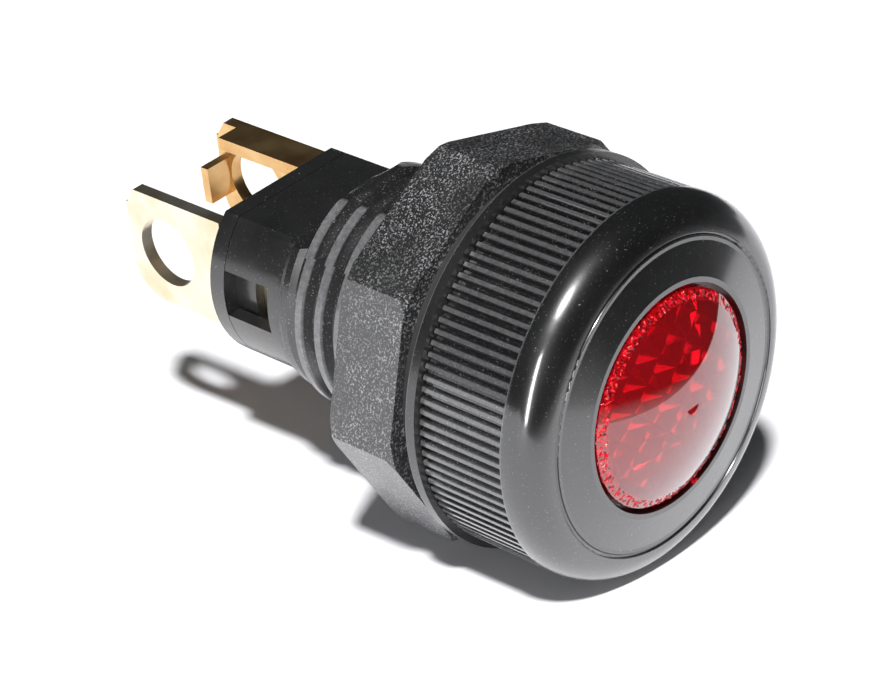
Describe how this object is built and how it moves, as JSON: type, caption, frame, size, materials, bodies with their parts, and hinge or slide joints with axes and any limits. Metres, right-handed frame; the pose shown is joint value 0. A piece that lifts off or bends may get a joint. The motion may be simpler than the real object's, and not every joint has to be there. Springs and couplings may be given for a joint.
{
  "type": "panel pilot light",
  "caption": "Panel pilot light with a knurled screw bezel, red prismatic lens, threaded D-shaped body, octagonal nut and brass blade terminals.",
  "frame": {"origin": "centre of the seat face, the rear face of the body's flange, on the lamp's axis", "axes": "+Y along the barrel away from the lens, +Z out of the flat on the barrel, +X to the centre terminal's side"},
  "size_m": [0.0234, 0.0399, 0.0234],
  "materials": {
    "bezel_plastic": "glossy face, dusty ribs",
    "red_lens": "clear red, moulded prisms",
    "seal_rubber": "matte",
    "body_plastic": "fine moulded grain",
    "gasket_rubber": "matte",
    "nut_plastic": "coarse moulded grain",
    "cap_plastic": "fine moulded grain",
    "terminal_brass": "stamped, lightly tarnished",
    "shell_brass": "drawn",
    "carrier_plastic": "matte",
    "fibre": "pressed fibre",
    "lamp_glass": "clear"
  },
  "bodies": {
    "housing": {"body": "body_plastic", "rear_cap": "cap_plastic", "side_terminal": "terminal_brass", "centre_terminal": "terminal_brass", "lamp_shell": "shell_brass", "shell_carrier": "carrier_plastic", "insulating_washer": "fibre", "lamp": "lamp_glass"},
    "lens_set": {"lens": "red_lens", "lens_gasket": "seal_rubber"},
    "bezel": {"bezel": "bezel_plastic"},
    "gasket": {"panel_gasket": "gasket_rubber"},
    "nut": {"nut": "nut_plastic"}
  },
  "joints": [
    {"name": "lens_lift", "type": "slide", "parent": "housing", "child": "lens_set", "axis": [0, -1, 0], "range_m": [0, 0.0046]},
    {"name": "bezel_unscrew", "type": "hinge", "parent": "lens_set", "child": "bezel", "pos_m": [0, 0, 0], "axis": [0, -1, 0], "range_deg": [0, 1080]},
    {"name": "gasket_travel", "type": "slide", "parent": "housing", "child": "gasket", "axis": [0, 1, 0], "range_m": [0, 0.0076]},
    {"name": "nut_unscrew", "type": "hinge", "parent": "gasket", "child": "nut", "pos_m": [0, 0, 0], "axis": [0, 1, 0], "range_deg": [0, 1800]}
  ],
  "couplings": [
    {"joint": "lens_lift", "follows": "bezel_unscrew", "m_per_rad": 0.00023873},
    {"joint": "gasket_travel", "follows": "nut_unscrew", "m_per_rad": 0.00023873}
  ]
}
